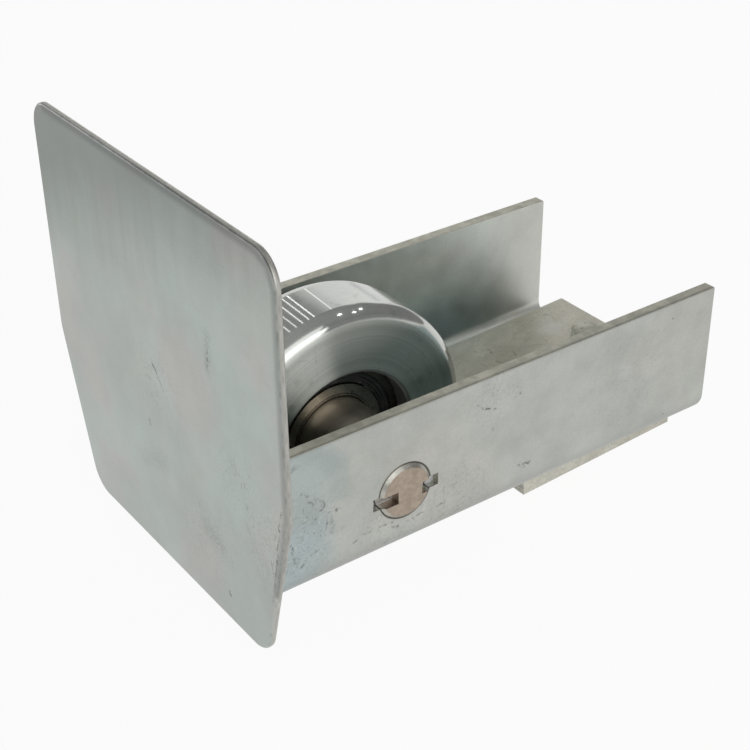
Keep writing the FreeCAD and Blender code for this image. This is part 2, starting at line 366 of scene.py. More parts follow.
plate_marks = [
    (-23.3, 65.5, -22.4, 57.1, 4.2, 0.22), (-22.9, 62.0, -22.6, 57.8, 1.8, 0.6),
    (2.3, 46.9, -1.7, 41.7, 1.1, 0.65), (10.7, 17.5, 1.9, 21.7, 8.0, 0.13),
    (6.5, 31.0, 6.5, 29.2, 1.2, 0.6), (-16.4, 14.2, -22.5, 12.9, 7.0, 0.2),
    (-34.6, 30.9, -34.7, 30.3, 1.3, 0.7), (-24.5, 1.9, -24.6, 1.3, 1.3, 0.7),
    (-47.7, 36.7, -43.7, 15.4, 0.9, 0.7), (-45.6, 24.0, -42.6, 11.0, 1.6, 0.25)]
plate_zones = [(0.0, 43.0, 14, 0.3), (-31.0, 35.0, 12, 0.3), (-18.0, 12.0, 16, 0.25), (-45.0, 24.0, 18, 0.4)]
plate_stains = [(38, 78, 22, (0.4, 0.447, 0.405, 1)), (-12, 50, 17, (0.425, 0.428, 0.406, 1))]
# Painted shade along the plate's top and right rim.
plate_rim_shade = [on_plate(43.5, 91.9), on_plate(-43.0, 92.1), on_plate(-47.4, 90.4), on_plate(-49.3, 86.0),
             on_plate(-49.3, 35.5), on_plate(-44.4, 14.0)]
plate_finish = zinc_sheet(
    "zinc_plate_sheet",
    tones=((0.408, 0.433, 0.405, 1), (0.43, 0.43, 0.41, 1), (0.406, 0.453, 0.427, 1), (0.475, 0.467, 0.43)),
    strokes=strokes_on(on_plate, plate_marks),
    zones=spots_on(on_plate, plate_zones),
    darkening_run=(on_plate(0, 62), on_plate(8.5, 92), 0.41),
    painted_shade_lines=[(plate_rim_shade, 0.0036, 0.32)],
    stains=spots_on(on_plate, plate_stains),
    lit_top_edge=(0.0918, 0.0923))

plate = rounded_copy("end_plate", "end_plate_sheet", plate_edge_radius)
mark_faces(plate, "cut", lambda face: abs(face.normal.x) < 0.5)
dress(plate, plate_finish)
stand_for(plate, "end_plate", "bracket")


# Channel: thicker sheet, blanked with the wheel's window and the bolt hole, folded to a U on a brake
# press and zinc plated. It slides into the track, so the flanges are scuffed along the bottom and
# nicked where something struck them; its inside is bluish. It has painted shade, highlight and reflection.
spin_axis = Vector(frame["record"]["behaviour"]["joints"][0]["pos_m"])
channel_low, channel_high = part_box("channel_bracket")
channel_sheet = 0.003
channel_edge_radius = 0.0003
inner_face = channel_high[1] - channel_sheet


def on_flange(x, z):
    """Point on the near flange's outer face, from millimetres."""
    return (x / 1000, channel_low[1], z / 1000)


def along_channel(y, z):
    """Line along the whole channel, at a place across it and a height in metres."""
    return [(0.001, y, z), (0.134, y, z)]


def about_axle(finish):
    """Distance from the axle's line, and the spoke from that line to the place."""
    offset = finish.vector_maths("SUBTRACT", finish.place, spin_axis)
    spoke = finish.vector_maths("MULTIPLY", offset, (1, 0, 1))
    return finish.vector_maths("LENGTH", spoke), spoke


def grime_round_axle(finish):
    """Dirt that has gathered in the seam round the axle's end."""
    seam_radius = 0.00712
    reach = 0.00028
    from_seam = finish.maths("ABSOLUTE", finish.minus(about_axle(finish)[0], seam_radius))
    return finish.eased(from_seam, reach, reach * 0.3, 0.0, 0.8)


def channel_inside(finish, colour):
    """Bluish inside colour with a painted blue reflection, where the inside is, and a painted fold highlight.
    """
    inner_tone = (0.55, 0.578, 0.54, 1)
    rear_tone = (0.536, 0.544, 0.5, 1)
    blue_tone = (0.48, 0.595, 0.61, 1)
    spot = finish.axes(finish.place)
    mark = finish.mark("inside")
    within = finish.maths("MINIMUM", mark, 1.0)
    # Painted bluish reflection low on the flanges' inside, ahead of the rear end.
    blue_reflection_by_wheel = finish.times(finish.eased(spot["Z"], 0.032, 0.008), finish.eased(spot["X"], 0.13, 0.095),
                            finish.eased(spot["Z"], 0.0042, 0.006))
    bluish = finish.most(finish.minus(mark, 1.0), blue_reflection_by_wheel)
    inner = finish.tint(finish.eased(spot["X"], 0.112, 0.128), inner_tone, rear_tone)
    colour = finish.tint(mark, colour, finish.tint(bluish, inner, blue_tone))
    # Painted highlight along the inside fold, growing towards the rear end.
    lit_fold = finish.times(within, finish.eased(spot["Z"], 0.0068, 0.0045))
    return colour, within, finish.times(lit_fold, finish.eased(spot["X"], 0.105, 0.132, 0.04, 0.3))


def inside_mark(face):
    """1 on the channel's inside, 2 there on the near flange, 0 elsewhere."""
    if abs(face.center.y) >= inner_face + 0.0001 or face.normal.z <= -0.5:
        return 0
    return 2 if face.normal.y > 0.5 else 1


def staked_mark(face):
    """1 on the floor of the stake marks, which lies within the sheet's thickness."""
    margin = 0.0005
    return abs(face.normal.y) > 0.95 and inner_face + margin < abs(face.center.y) < channel_high[1] - margin


flange_marks = [
    (20.8, 19.9, 21.1, 18.8, 1.2, 0.7), (11.7, 8.1, 13.0, 9.1, 1.3, 0.7), (9.2, 14.6, 9.7, 13.8, 1.4, 0.7),
    (10.2, 33.8, 11.4, 34.1, 2.2, 0.4), (59.7, 30.8, 62.2, 29.1, 0.9, 0.8),
    (62.2, 29.1, 65.1, 28.0, 0.9, 0.85), (71.3, 31.5, 72.2, 29.7, 0.9, 0.7),
    (64.4, 22.8, 64.9, 22.5, 1.3, 0.8), (16.0, 2.5, 62.0, 2.5, 14.0, 0.12), (73.2, 9.3, 74.5, 8.6, 2.0, 0.9),
    (74.8, 9.1, 76.0, 8.8, 1.6, 0.85), (19.8, 17.7, 19.8, 13.7, 1.8, 0.32)]
nick_width, nick_depth = 1.0, 0.55
flange_nicks = [
    (12.5, 27.1, 14.2, 25.7), (14.4, 24.2, 15.3, 22.9), (16.9, 23.4, 18.4, 21.6), (17.1, 20.7, 18.1, 21.8),
    (14.4, 18.4, 15.9, 19.3), (11.7, 16.4, 12.1, 15.0), (14.2, 9.8, 15.6, 10.5), (9.7, 11.1, 10.4, 9.3),
    (25.3, 8.1, 26.7, 9.2), (27.8, 9.2, 31.3, 9.4), (32.4, 9.5, 34.1, 9.3), (35.3, 7.9, 37.6, 7.4),
    (41.5, 8.1, 44.5, 8.2), (48.4, 8.2, 50.5, 8.5)]
flange_marks += [(*nick, nick_width, nick_depth) for nick in flange_nicks]
flange_zones = [(12, 16, 16, 0.4), (38, 8, 14, 0.35), (54, 8, 14, 0.3), (64, 31, 12, 0.25),
                (108, 22, 25, 0.12)]
flange_stains = [(4, 14, 22, (0.405, 0.463, 0.462, 1)), (13, 30, 15, (0.39, 0.431, 0.416, 1))]
# Painted shade along the near flange's top arris and along the outer bends at the bottom.
top_arris_shade = (along_channel(-0.033, 0.037), 0.0015, 0.33)
near_bend_shade = (along_channel(-0.0308, 0.0012), 0.0125, 0.36)
far_bend_shade = (along_channel(0.0308, 0.0012), 0.0125, 0.36)
channel_finish = zinc_sheet(
    "zinc_channel_sheet",
    tones=((0.443, 0.457, 0.424, 1), (0.462, 0.46, 0.427, 1), (0.444, 0.461, 0.43, 1), (0.52, 0.51, 0.432)),
    strokes=strokes_on(on_flange, flange_marks),
    zones=spots_on(on_flange, flange_zones),
    darkening_run=((0.1, 0.0, 0.0), (0.2, 0.0, 0.0), 0.1),
    painted_shade_lines=[top_arris_shade, near_bend_shade, far_bend_shade],
    stains=spots_on(on_flange, flange_stains),
    inside=channel_inside,
    grime=grime_round_axle)

channel = rounded_copy("channel_bracket", "channel_sheet", channel_edge_radius)
mark_faces(channel, "cut", lambda face: abs(face.normal.x) > 0.5 or face.center.z > channel_high[2] - 0.0002)
mark_faces(channel, "inside", inside_mark)
mark_faces(channel, "staked", staked_mark)
dress(channel, channel_finish)
stand_for(channel, "channel_bracket", "bracket")


# Welds: one run of gas-shielded fillet weld up each flange, behind the plate, laid in small ripples
# and zinc plated with the rest.

def new_shape(name, sizes):
    """Recipe of a Geometry Nodes tree with named sizes, and the sockets that give them."""
    tree = bpy.data.node_groups.new(name, "GeometryNodeTree")
    tree.interface.new_socket("Geometry", in_out="INPUT", socket_type="NodeSocketGeometry")
    for size, value in sizes.items():
        kind = "NodeSocketVector" if isinstance(value, tuple) else "NodeSocketFloat"
        tree.interface.new_socket(size, in_out="INPUT", socket_type=kind)
    tree.interface.new_socket("Geometry", in_out="OUTPUT", socket_type="NodeSocketGeometry")
    shape = Recipe(tree)
    return shape, shape.add("NodeGroupInput").outputs


def rod_of(shape, vertices, segments):
    """Upright rod of radius 1 and length 1 to be pulled into shape, and the X, Y and Z of its points."""
    sizes = {"Vertices": vertices, "Side Segments": segments, "Radius": 1.0, "Depth": 1.0}
    rod = shape.add("GeometryNodeMeshCylinder", sizes).outputs["Mesh"]
    return rod, shape.axes(shape.add("GeometryNodeInputPosition").outputs[0])


def point(shape, **values):
    """Vector from its X, Y and Z."""
    return shape.add("ShaderNodeCombineXYZ", values).outputs[0]


def end_shape(shape, geometry, finish):
    """Close a tree: instances made real, shaded smooth, with their finish."""
    real = shape.add("GeometryNodeRealizeInstances", {"Geometry": geometry}).outputs[0]
    smooth = shape.add("GeometryNodeSetShadeSmooth", {"Geometry": real}).outputs[0]
    values = {"Geometry": smooth, "Material": finish.material}
    shape.add("NodeGroupOutput", {"Geometry": shape.add("GeometryNodeSetMaterial", values).outputs[0]})


def made_by(shape, name, sizes, finish):
    """Plain mesh piece from a tree run with the given sizes, its faces turned outwards."""
    sharp_angle = math.radians(50)
    maker = bpy.data.objects.new(name + "_maker", bpy.data.meshes.new(name + "_maker"))
    bpy.context.scene.collection.objects.link(maker)
    run = maker.modifiers.new("make", "NODES")
    run.node_group = shape.tree
    for socket in shape.tree.interface.items_tree:
        if socket.in_out == "INPUT" and socket.name in sizes:
            run[socket.identifier] = sizes[socket.name]
    evaluated = maker.evaluated_get(bpy.context.evaluated_depsgraph_get())
    made = bpy.data.meshes.new_from_object(evaluated)
    bpy.data.objects.remove(maker)
    shell = bmesh.new()
    shell.from_mesh(made)
    bpy.data.meshes.remove(made)
    bmesh.ops.remove_doubles(shell, verts=shell.verts, dist=1e-7)
    bmesh.ops.recalc_face_normals(shell, faces=shell.faces)
    for edge in shell.edges:
        edge.smooth = edge.calc_face_angle(0) < sharp_angle
    for face in shell.faces:
        face.material_index = 0
    piece = new_piece(name, shell)
    dress(piece, finish)
    return piece


weld_finish = Finish("zinc_weld_bead")
weld_clouds = weld_finish.noise(260, 4)
weld_tone = weld_finish.eased(weld_clouds, 0.35, 0.65)
weld_finish.coat(weld_finish.tint(weld_tone, (0.36, 0.36, 0.33, 1), (0.5, 0.5, 0.47, 1)),
                 weld_finish.eased(weld_clouds, 0.3, 0.7, 0.35, 0.5))
weld_finish.emboss(weld_finish.noise(2400, 4), 0.3, 0.00015)

ripple_count = 22.0
bead_sizes = {"Root": (0.0, 0.0, 0.0), "Leg": 0.003, "Length": 0.03, "Side": 1.0, "Ripples": ripple_count,
              "Seed": 1.0}
bead, bead_in = new_shape("weld_bead", bead_sizes)
rod, spot = rod_of(bead, 28, 132)
climb = bead.plus(spot["Z"], 0.5)
beat = bead.maths("MULTIPLY_ADD", climb, bead_in["Ripples"], bead.times(spot["X"], -0.35))
beat = bead.maths("POWER", bead.maths("FRACT", beat), 1.6)
unsteady = bead.add("ShaderNodeTexNoise", {"W": bead.plus(climb, bead_in["Seed"]), "Scale": 9.0},
                    noise_dimensions="1D").outputs[0]
swell = bead.plus(bead.maths("MULTIPLY_ADD", beat, -0.07, 0.66),
                  bead.maths("MULTIPLY_ADD", unsteady, 0.16, -0.08))
to_ends = bead.times(bead.minus(1.0, climb), climb)
taper = bead.maths("MINIMUM", bead.times(bead.maths("POWER", to_ends, 0.12), 1.45), 1.0)
swell = bead.times(swell, taper)
legs = [bead.times(bead_in["Leg"], bead.most(bead.maths("MULTIPLY_ADD", spot[axis], swell, 0.2), 0.0))
        for axis in ("X", "Y")]
aim = point(bead, X=legs[0], Y=bead.times(legs[1], bead_in["Side"]), Z=bead.times(climb, bead_in["Length"]))
aim = bead.vector_maths("ADD", aim, bead_in["Root"])
laid = bead.add("GeometryNodeSetPosition", {"Geometry": rod, "Position": aim}).outputs[0]
end_shape(bead, laid, weld_finish)

for node, side, seed in (("weld_near", -1.0, 1.0), ("weld_far", 1.0, 7.0)):
    low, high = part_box(node)
    flange = high[1] if side < 0 else low[1]
    run_sizes = {"Root": (0.0, flange, low[2]), "Leg": high[0] - low[0], "Length": high[2] - low[2],
                 "Side": side, "Ripples": ripple_count, "Seed": seed}
    stand_for(made_by(bead, node + "_bead", run_sizes, weld_finish), node, "bracket")


# Axle: turned steel pin, thick between the flanges and stepped down to pass through them. Its ends
# stand a little proud, with a turned bevel, and are staked in place by four chisel cuts.

def lathe_lines(finish, distance, cells, detail=2.0):
    """Fine turning lines that change only along one length."""
    values = {"W": distance, "Scale": cells, "Detail": detail}
    return finish.add("ShaderNodeTexNoise", values, noise_dimensions="1D").outputs["Fac"]


def spread_across(finish, spoke, amount):
    """Let the turning lines spread a reflection across them, by an amount up to 1."""
    normal = finish.add("ShaderNodeTexCoord").outputs["Normal"]
    round_way = finish.vector_maths("CROSS_PRODUCT", spoke, (0, 1, 0))
    across = finish.vector_maths("NORMALIZE", finish.vector_maths("CROSS_PRODUCT", round_way, normal))
    turned = finish.add("ShaderNodeVectorTransform", {"Vector": across}, vector_type="VECTOR",
                        convert_from="OBJECT", convert_to="WORLD")
    finish.feed(finish.shader.inputs["Tangent"], turned.outputs[0])
    finish.shader.inputs["Anisotropic"].default_value = amount


axle_end = (0.0300, 0.0308)
stake_floor = (0.0316, 0.0313)
bevel_radius = (0.00605, 0.00625)
dirty_rim = (0.00682, 0.00696)
shank_tone, end_tone = (0.71, 0.66, 0.55, 1), (0.375, 0.312, 0.25, 1)
bevel_tone, stake_tone = (0.5, 0.49, 0.44, 1), (0.78, 0.77, 0.76, 1)

axle = Finish("turned_axle_steel")
axle_radius, axle_spoke = about_axle(axle)
axle_y = axle.maths("ABSOLUTE", axle.axes(axle.place)["Y"])
at_end = axle.eased(axle_y, *axle_end)
axle_clouds = axle.noise(260, 5)
axle_turning = lathe_lines(axle, axle.plus(axle_y, axle.times(axle_radius, 0.9)), 2600)
axle_colour = axle.tint(at_end, shank_tone, end_tone)
on_bevel = axle.times(axle.eased(axle_radius, *bevel_radius), at_end)
axle_colour = axle.tint(on_bevel, axle_colour, bevel_tone)
axle_tone = axle.plus(axle.eased(axle_clouds, 0.3, 0.7, 0.96, 1.04),
                      axle.times(axle.eased(axle.noise(900, 4), 0.3, 0.7, -0.12, 0.09), at_end),
                      axle.times(axle.eased(axle_turning, 0.3, 0.7, -0.06, 0.06),
                                 axle.maths("MULTIPLY_ADD", at_end, -0.8, 1.0)))
axle_colour = axle.scaled(axle_colour, axle_tone)
in_stake = axle.times(axle.eased(axle_y, *stake_floor), at_end)
axle_colour = axle.tint(in_stake, axle_colour, stake_tone)
axle_rim = axle.times(axle.eased(axle_radius, *dirty_rim), at_end, 0.9)
axle_dirt = axle.most(axle_rim, axle.times(axle.specks(800, 0.16, 0.12), 0.5))
axle.coat(axle.tint(axle_dirt, axle_colour, (0.1, 0.085, 0.07, 1)),
          axle.plus(axle.eased(axle_clouds, 0.3, 0.7, 0.34, 0.38), axle.times(in_stake, 0.25)))
axle.emboss(axle_turning, 0.15, 0.00003)
spread_across(axle, axle_spoke, 0.5)
dress(frame["nodes"]["axle"], axle)


# Wheel: turned steel roller with generous rounded edges, zinc plated and bored for one bearing. Tread
# and edges are finished fine and mirror the lamps; the sides keep the coarser lines of the facing cut.

def choice(recipe, factor, first, second):
    """Number mixed from two."""
    return recipe.add("ShaderNodeMix", {0: factor, 2: first, 3: second}, data_type="FLOAT").outputs[0]


wheel_low, wheel_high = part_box("wheel")
tread_radius = (wheel_high[0] - wheel_low[0]) / 2
half_wheel = (wheel_high[1] - wheel_low[1]) / 2
wheel_bore = (0.0194, 0.0190)
dark_zinc, pale_zinc, side_tone = (0.5, 0.515, 0.49, 1), (0.555, 0.565, 0.535, 1), (0.565, 0.585, 0.545, 1)
edge_gloss, tread_gloss, side_gloss = 0.12, 0.1, 0.33


def on_wheel_side(x, z):
    """Point on the wheel's near side, from millimetres."""
    return (x / 1000, wheel_low[1], z / 1000)


wheel = Finish("turned_wheel_steel")
wheel_radius, wheel_spoke = about_axle(wheel)
wheel_y = wheel.axes(wheel.place)["Y"]
off_middle = wheel.maths("ABSOLUTE", wheel.minus(wheel_y, wheel_low[1] + half_wheel))
on_tread = wheel.eased(wheel_radius, tread_radius - 0.0004, tread_radius - 0.0001)
on_side = wheel.eased(off_middle, half_wheel - 0.0003, half_wheel - 0.00005)
in_bore = wheel.eased(wheel_radius, *wheel_bore)
facing = lathe_lines(wheel, wheel_radius, 1900, 3)
skim = lathe_lines(wheel, wheel_y, 3600)
wheel_clouds = wheel.noise(85, 4)
wheel_colour = wheel.tint(wheel.eased(wheel_clouds, 0.38, 0.64), dark_zinc, pale_zinc)
wheel_colour = wheel.tint(on_side, wheel_colour, side_tone)
coarse = wheel.times(wheel.eased(lathe_lines(wheel, wheel_radius, 760), 0.3, 0.7, -0.06, 0.06), on_side)
wheel_tone = wheel.plus(wheel.eased(choice(wheel, on_side, skim, facing), 0.3, 0.7, 0.965, 1.03), coarse,
                        wheel.eased(wheel.noise(2600, 2), 0.3, 0.7, -0.025, 0.025))
# Painted shade darkens the bore.
wheel_tone = wheel.times(wheel_tone, wheel.maths("MULTIPLY_ADD", in_bore, -0.55, 1.0))
wheel_colour = wheel.scaled(wheel_colour, wheel_tone)
wheel_scores = [(31.4, 45.8, 32.0, 36.6, 0.6, 0.5), (26.7, 43.6, 29.3, 42.8, 0.7, 0.5)]
rubbed = wheel.eased(wheel.noise(240, 5), 0.6, 0.72, 0.0, 0.25)
wheel_dirt = wheel.most(rubbed, wheel.scuffs(strokes_on(on_wheel_side, wheel_scores)),
                        wheel.times(wheel.specks(420, 0.08, 0.08), 0.45))
wheel_rough = choice(wheel, on_side, choice(wheel, on_tread, edge_gloss, tread_gloss), side_gloss)
wheel_rough = wheel.plus(wheel_rough, wheel.eased(wheel_clouds, 0.35, 0.7, 0.0, 0.02),
                         wheel.times(in_bore, 0.2))
wheel.coat(wheel.tint(wheel_dirt, wheel_colour, (0.2, 0.2, 0.19, 1)), wheel_rough)
wheel.emboss(wheel.times(facing, on_side), 0.2, 0.00003)
spread_across(wheel, wheel_spoke, 1.0)
dress(frame["nodes"]["wheel"], wheel)


# Bearing rings: through-hardened steel, ground all over, the inner ring tight on the axle and the outer
# ring in the wheel. Bore and seam are darker, and painted shade darkens the outer ring and the right side.
outer_ring = (0.0158, 0.0162)
ring_bore = (0.01046, 0.0103)
seam_radius, seam_reach = 0.01085, (0.00024, 0.0001)
shade_reach = 0.011
ring_tone, seam_and_shade_tone = (0.395, 0.356, 0.308), (0.06, 0.05, 0.04, 1)

ring = Finish("ground_ring_steel")
ring_radius, ring_spoke = about_axle(ring)
ring_clouds = ring.noise(300, 3)
ring_light = ring.plus(ring.eased(lathe_lines(ring, ring_radius, 5200), 0.3, 0.7, 0.94, 1.04),
                       ring.eased(ring_clouds, 0.3, 0.7, -0.08, 0.08))
from_seam = ring.maths("ABSOLUTE", ring.minus(ring_radius, seam_radius))
ring_x = ring.axes(ring.place)["X"]
# Darker at the bore and the seam near it; painted shade on the outer ring in its recess and towards the
# right.
ring_seams_and_shade = ring.most(ring.eased(ring_radius, *outer_ring, 0.0, 0.75),
                     ring.eased(ring_radius, *ring_bore, 0.0, 0.9),
                     ring.eased(from_seam, *seam_reach, 0.0, 0.85),
                     ring.eased(ring_x, spin_axis.x, spin_axis.x + shade_reach, 0.0, 0.72))
ring.coat(ring.tint(ring_seams_and_shade, ring.scaled(ring_tone, ring_light), seam_and_shade_tone),
          ring.eased(ring_clouds, 0.3, 0.7, 0.24, 0.34))
spread_across(ring, ring_spoke, 0.7)
dress(frame["nodes"]["bearing_inner_ring"], ring)
dress(frame["nodes"]["bearing_outer_ring"], ring)


# Balls: one row of twelve balls between the rings, chrome steel ground and polished. A thin film of
# grease dulls them in streaks.
ball = Finish("polished_ball_steel")
grease = ball.eased(ball.noise(420, 4), 0.45, 0.65)
ball.coat(ball.tint(grease, (0.72, 0.72, 0.71, 1), (0.58, 0.53, 0.42, 1)),
          ball.eased(grease, 0.0, 1.0, 0.06, 0.28))
dress(frame["nodes"]["bearing_balls"], ball)


# Cage: two ribbons pressed from thin strip, with a pocket over each ball, held together by small
# rivets with domed heads.

def moved(shape, geometry, **moves):
    """Geometry turned, shifted or stretched."""
    return shape.add("GeometryNodeTransform", {"Geometry": geometry, **moves}).outputs[0]


cage = Finish("pressed_cage_steel")
cage_clouds = cage.noise(650, 4)
cage.coat(cage.tint(cage.eased(cage_clouds, 0.35, 0.65), (0.42, 0.42, 0.4, 1), (0.55, 0.54, 0.51, 1)),
          cage.eased(cage_clouds, 0.3, 0.7, 0.3, 0.45))
dress(frame["nodes"]["cage_half_near"], cage)
dress(frame["nodes"]["cage_half_far"], cage)

rivet_count = 12
dome_share = 0.27
cage_middle = (Vector(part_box("cage_rivets")[0]) + Vector(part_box("cage_rivets")[1])) / 2
rivet_sizes = {"Centre": (spin_axis.x, cage_middle.y, spin_axis.z), "Ring radius": 0.01425,
               "Pin radius": 0.00035, "Head radius": 0.00055, "Grip": 0.001}
rivets, rivet_in = new_shape("cage_rivets", rivet_sizes)
across_cage = (math.pi / 2, 0.0, 0.0)
seat_sizes = {"Vertices": rivet_count, "Radius": rivet_in["Ring radius"]}
seats = rivets.add("GeometryNodeMeshCircle", seat_sizes).outputs[0]
seats = moved(rivets, seats, Rotation=(0.0, 0.0, math.pi / rivet_count))
seats = moved(rivets, seats, Rotation=across_cage, Translation=rivet_in["Centre"])
pin_sizes = {"Vertices": 12, "Radius": rivet_in["Pin radius"], "Depth": rivet_in["Grip"]}
pin = moved(rivets, rivets.add("GeometryNodeMeshCylinder", pin_sizes).outputs["Mesh"], Rotation=across_cage)
rivet = rivets.add("GeometryNodeJoinGeometry", {0: pin})
head_sizes = {"Segments": 12, "Rings": 8, "Radius": rivet_in["Head radius"]}
for end in (-0.5, 0.5):
    head = rivets.add("GeometryNodeMeshUVSphere", head_sizes).outputs["Mesh"]
    head_seat = point(rivets, Y=rivets.times(rivet_in["Grip"], end))
    rivets.feed(rivet.inputs[0], moved(rivets, head, Translation=head_seat, Scale=(1.0, dome_share, 1.0)))
spread = rivets.add("GeometryNodeInstanceOnPoints", {"Points": seats, "Instance": rivet.outputs[0]})
end_shape(rivets, spread.outputs[0], cage)
stand_for(made_by(rivets, "cage_rivet_set", rivet_sizes, cage), "cage_rivets", "ball_set")


# Seals: rings of black nitrile rubber on both sides of the balls, moulded with concentric ridges and
# snapped into the outer ring. Dust lies on them in patches.

def turned_piece(name, profile, steps):
    """Closed (radius, y) outline turned about the axle's line into a smooth ring."""
    shell = bmesh.new()
    turns = []
    for step in range(steps):
        angle = 2 * math.pi * step / steps
        turns.append([shell.verts.new((spin_axis.x + radius * math.cos(angle), y,
                                       spin_axis.z + radius * math.sin(angle))) for radius, y in profile])
    for step in range(steps):
        this, other = turns[step], turns[(step + 1) % steps]
        for corner in range(len(profile)):
            after = (corner + 1) % len(profile)
            shell.faces.new((this[corner], this[after], other[after], other[corner])).smooth = True
    bmesh.ops.recalc_face_normals(shell, faces=shell.faces)
    return new_piece(name, shell)


rubber = Finish("black_seal_rubber", metallic=0.0)
dust = rubber.eased(rubber.noise(330, 5), 0.48, 0.7)
rubber.coat(rubber.tint(dust, (0.012, 0.012, 0.012, 1), (0.05, 0.047, 0.042, 1)),
            rubber.eased(dust, 0.0, 1.0, 0.38, 0.62))
rubber.emboss(rubber.noise(6000, 2), 0.15, 0.00005)

seal_width = 0.00284
seal_steps = 128
seal_ridges = [(0.0, 1.0), (0.0, 0.2), (0.04, 0.06), (0.12, 0.0), (0.22, 0.04), (0.27, 0.17), (0.31, 0.31),
               (0.40, 0.34), (0.44, 0.19), (0.49, 0.12), (0.54, 0.19), (0.58, 0.34), (0.66, 0.31),
               (0.70, 0.15), (0.75, 0.02), (0.84, 0.0), (0.95, 0.02), (1.0, 0.12), (1.0, 1.0)]
for node, side in (("bearing_seal_near", -1), ("bearing_seal_far", 1)):
    low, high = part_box(node)
    outside = low[1] if side < 0 else high[1]
    lip = (high[0] - low[0]) / 2 - seal_width
    thickness = high[1] - low[1]
    profile = [(lip + share * seal_width, outside - side * depth * thickness) for share, depth in seal_ridges]
    seal = turned_piece(node + "_ring", profile, seal_steps)
    dress(seal, rubber)
    stand_for(seal, node, "wheel_set")


# Clamp bars: two pieces sawn off hot-rolled flat bar and zinc plated. The inner one lies in the channel
# and takes the bolt's thread, the lower one grips the track's lips from below.
bar_edge_radius = 0.0001
dark_bar, pale_bar = (0.475, 0.46, 0.395, 1), (0.575, 0.565, 0.5, 1)
glint_tone, smear_tone = (0.85, 0.85, 0.83, 1), (0.85, 0.88, 0.88, 1)
nick_tone, bare_tone = (0.14, 0.13, 0.11, 1), (0.62, 0.61, 0.56, 1)


def on_bar(x, y):
    """Point on the inner bar's tipped top, from millimetres."""
    return (x / 1000, y / 1000, (9.54 + (x - 95.27) * 0.04594) / 1000)


bar_nicks = [(100.8, 11.8, 100.4, 9.9, 0.6), (95.1, 7.4, 94.9, 5.8, 0.6), (97.8, 13.6, 97.8, 13.0, 0.5),
             (99.0, 6.0, 99.4, 4.4, 0.5), (105.1, 6.7, 104.6, 5.3, 0.5), (115.3, 5.6, 115.8, 4.1, 0.55),
             (123.9, 17.3, 125.0, 14.7, 0.35), (125.0, 14.7, 124.4, 10.8, 0.3),
             (128.1, 14.5, 129.5, 13.7, 0.35)]
bar_nick_width = 1.1
bar_marks = [(*nick, bar_nick_width, depth) for *nick, depth in bar_nicks]
bar_zone = [((0.11, 0.0, 0.01), 0.06, 0.15)]

bar = Finish("zinc_flat_bar")
faces_out = bar.axes(bar.add("ShaderNodeTexCoord").outputs["Normal"])
on_sawn_end = bar.eased(bar.maths("ABSOLUTE", faces_out["X"]), 0.7, 0.95)
lit_top = bar.eased(faces_out["Z"], 0.7, 0.95)
bar_clouds = bar.noise(60, 5)
bar_mill = bar.noise(500, 4, stretch=(0.5, 1, 1))
saw_lines = bar.noise(2400, 2, stretch=(1, 0.04, 1))
bar_colour = bar.tint(bar.eased(bar_clouds, 0.36, 0.66), dark_bar, pale_bar)
# Faces turned up are painted lighter: painted light from above.
bar_tone = bar.plus(bar.eased(bar_mill, 0.25, 0.75, 0.93, 1.05), bar.scratches(1300, bar_zone),
                    bar.eased(bar.noise(1900, 3), 0.25, 0.75, -0.09, 0.09),
                    bar.times(on_sawn_end, bar.eased(saw_lines, 0.3, 0.7, -0.47, -0.23)),
                    bar.times(lit_top, 0.3))
bar_colour = bar.scaled(bar_colour, bar_tone)
bar_colour = bar.tint(bar.specks(260, 0.12, 0.07), bar_colour, glint_tone)
bar_smear = bar.eased(bar.away_from(on_bar(120.5, 10.0)), 0.006, 0.001, 0.0, 0.25)
bar_colour = bar.tint(bar_smear, bar_colour, smear_tone)
bar_colour = bar.tint(bar.scuffs(strokes_on(on_bar, bar_marks)), bar_colour, nick_tone)
bar_worn = bar.times(bar.mark("edge"), bar.eased(bar_mill, 0.42, 0.6, 0.0, 0.6))
bar.coat(bar.tint(bar_worn, bar_colour, bare_tone), bar.eased(bar_clouds, 0.3, 0.7, 0.42, 0.52))
bar.emboss(bar.plus(bar_mill, bar.times(saw_lines, on_sawn_end)), 0.35, 0.00006)
for node in ("inner_clamp_bar", "lower_clamp_bar"):
    sawn = rounded_copy(node, node + "_sawn", bar_edge_radius)
    dress(sawn, bar)
    stand_for(sawn, node, "bracket")


# Clamp bolt: M8 hexagon bolt, cold headed and rolled, zinc plated. It comes up from below through both
# bars and the web, and its end shows above the inner bar.
bolt_finish = Finish("zinc_bolt")
bolt_clouds = bolt_finish.noise(420, 4)
bolt_tone = bolt_finish.eased(bolt_clouds, 0.35, 0.65)
bolt_colour = bolt_finish.tint(bolt_tone, (0.54, 0.53, 0.46, 1), (0.63, 0.62, 0.55, 1))
bolt_dirt = bolt_finish.eased(bolt_finish.noise(900, 4), 0.55, 0.7, 0.0, 0.5)
bolt_finish.coat(bolt_finish.tint(bolt_dirt, bolt_colour, (0.15, 0.14, 0.12, 1)),
                 bolt_finish.eased(bolt_clouds, 0.3, 0.7, 0.45, 0.55))
bolt_finish.emboss(bolt_finish.noise(2600, 3), 0.15, 0.00005)

